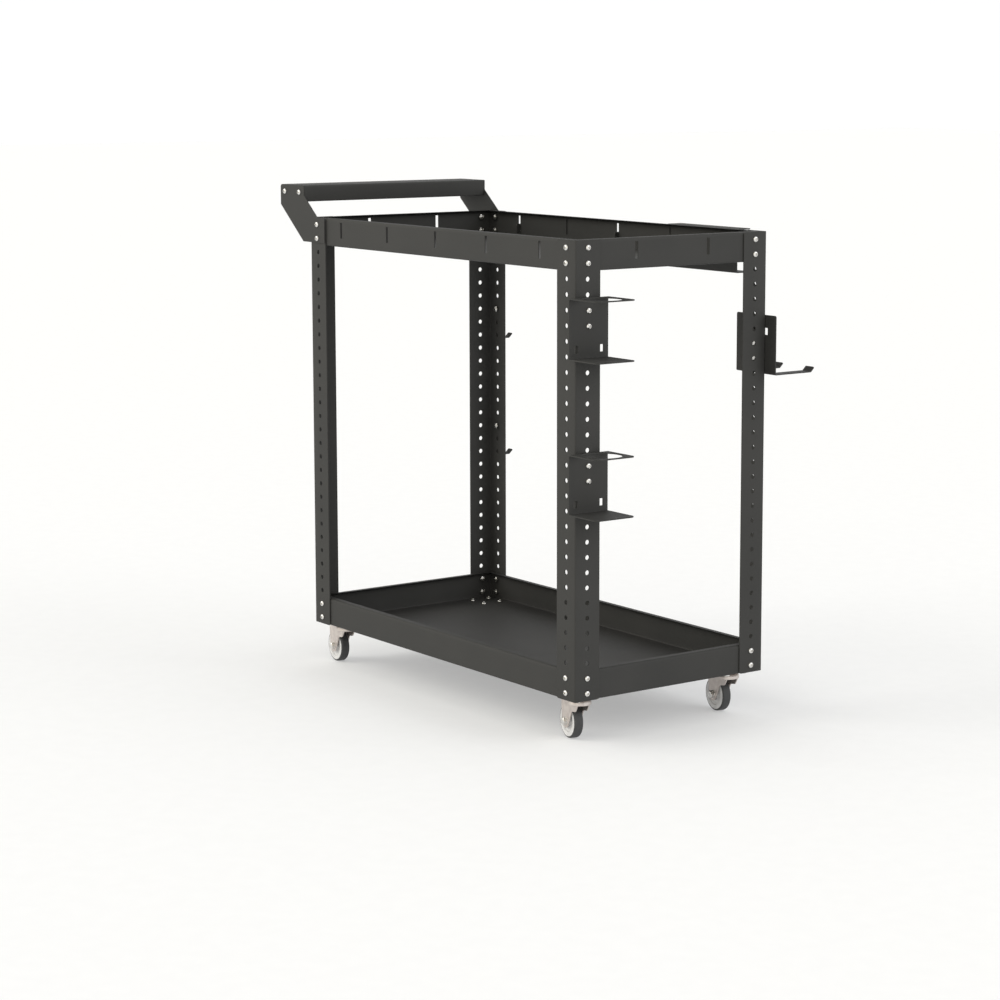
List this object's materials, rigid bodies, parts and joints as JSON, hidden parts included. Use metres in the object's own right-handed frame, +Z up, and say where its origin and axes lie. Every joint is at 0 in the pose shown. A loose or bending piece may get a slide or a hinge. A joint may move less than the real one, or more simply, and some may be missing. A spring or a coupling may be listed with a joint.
{
  "type": "tool cart",
  "caption": "Open tool cart of perforated angle posts with a slotted top tray, a plain bottom tray, a push handle, bolt-on holders and hooks, and swivel casters.",
  "frame": {"origin": "middle of the cart's footprint box, on the floor that the wheels stand on", "axes": "+X along the cart, away from the push handle; +Y across it, towards the side with the hooks and racks; +Z up"},
  "size_m": [0.9922, 0.5116, 0.8984],
  "materials": {
    "paint": "satin charcoal powder coat with a fine texture",
    "zinc": "bright zinc plating, slightly warm",
    "screw_steel": "polished stainless steel",
    "wheel_plastic": "light grey moulded plastic",
    "tyre_rubber": "dark grey rubber tread"
  },
  "bodies": {
    "frame": {"post_front_right": "paint", "post_rear_right": "paint", "post_front_left": "paint", "post_rear_left": "paint", "tray_top": "paint", "tray_bottom": "paint", "handle_bar": "paint", "handle_bracket_right": "paint", "handle_bracket_left": "paint", "can_holder_upper": "paint", "can_holder_lower": "paint", "single_hook_upper": "paint", "single_hook_lower": "paint", "fork_hook": "paint", "channel_rack": "paint", "shelf_rack": "paint", "screw_handle_right_1": "screw_steel", "screw_handle_right_2": "screw_steel", "screw_handle_left_1": "screw_steel", "screw_handle_left_2": "screw_steel", "screw_bracket_right_1": "screw_steel", "screw_bracket_right_2": "screw_steel", "screw_bracket_left_1": "screw_steel", "screw_bracket_left_2": "screw_steel", "screw_can_upper_1": "screw_steel", "screw_can_upper_2": "screw_steel", "screw_can_lower_1": "screw_steel", "screw_can_lower_2": "screw_steel", "screw_hook_upper": "screw_steel", "screw_hook_lower": "screw_steel", "screw_fork_1": "screw_steel", "screw_fork_2": "screw_steel", "caster_mount_front_right": "zinc", "caster_mount_rear_right": "zinc", "caster_mount_front_left": "zinc", "caster_mount_rear_left": "zinc"},
    "fork_front_right": {"caster_yoke_front_right": "zinc", "caster_axle_front_right": "screw_steel"},
    "wheel_front_right": {"caster_wheel_front_right": "wheel_plastic", "caster_tyre_front_right": "tyre_rubber"},
    "fork_rear_right": {"caster_yoke_rear_right": "zinc", "caster_axle_rear_right": "screw_steel"},
    "wheel_rear_right": {"caster_wheel_rear_right": "wheel_plastic", "caster_tyre_rear_right": "tyre_rubber"},
    "fork_front_left": {"caster_yoke_front_left": "zinc", "caster_axle_front_left": "screw_steel"},
    "wheel_front_left": {"caster_wheel_front_left": "wheel_plastic", "caster_tyre_front_left": "tyre_rubber"},
    "fork_rear_left": {"caster_yoke_rear_left": "zinc", "caster_axle_rear_left": "screw_steel"},
    "wheel_rear_left": {"caster_wheel_rear_left": "wheel_plastic", "caster_tyre_rear_left": "tyre_rubber"}
  },
  "joints": [
    {"name": "swivel_front_right", "type": "hinge", "parent": "frame", "child": "fork_front_right", "pos_m": [0.37845, -0.19965, 0.072], "axis": [0, 0, 1], "continuous": true},
    {"name": "spin_front_right", "type": "hinge", "parent": "fork_front_right", "child": "wheel_front_right", "pos_m": [0.34802, -0.19373, 0.03], "axis": [-0.1908, -0.9816, 0], "continuous": true},
    {"name": "swivel_rear_right", "type": "hinge", "parent": "frame", "child": "fork_rear_right", "pos_m": [-0.35175, -0.19965, 0.072], "axis": [0, 0, 1], "continuous": true},
    {"name": "spin_rear_right", "type": "hinge", "parent": "fork_rear_right", "child": "wheel_rear_right", "pos_m": [-0.38258, -0.19641, 0.03], "axis": [-0.1045, -0.9945, 0], "continuous": true},
    {"name": "swivel_front_left", "type": "hinge", "parent": "frame", "child": "fork_front_left", "pos_m": [0.37845, 0.12415, 0.072], "axis": [0, 0, 1], "continuous": true},
    {"name": "spin_front_left", "type": "hinge", "parent": "fork_front_left", "child": "wheel_front_left", "pos_m": [0.34775, 0.12846, 0.03], "axis": [-0.1392, -0.9903, 0], "continuous": true},
    {"name": "swivel_rear_left", "type": "hinge", "parent": "frame", "child": "fork_rear_left", "pos_m": [-0.35175, 0.12415, 0.072], "axis": [0, 0, 1], "continuous": true},
    {"name": "spin_rear_left", "type": "hinge", "parent": "fork_rear_left", "child": "wheel_rear_left", "pos_m": [-0.38245, 0.12846, 0.03], "axis": [-0.1392, -0.9903, 0], "continuous": true}
  ]
}
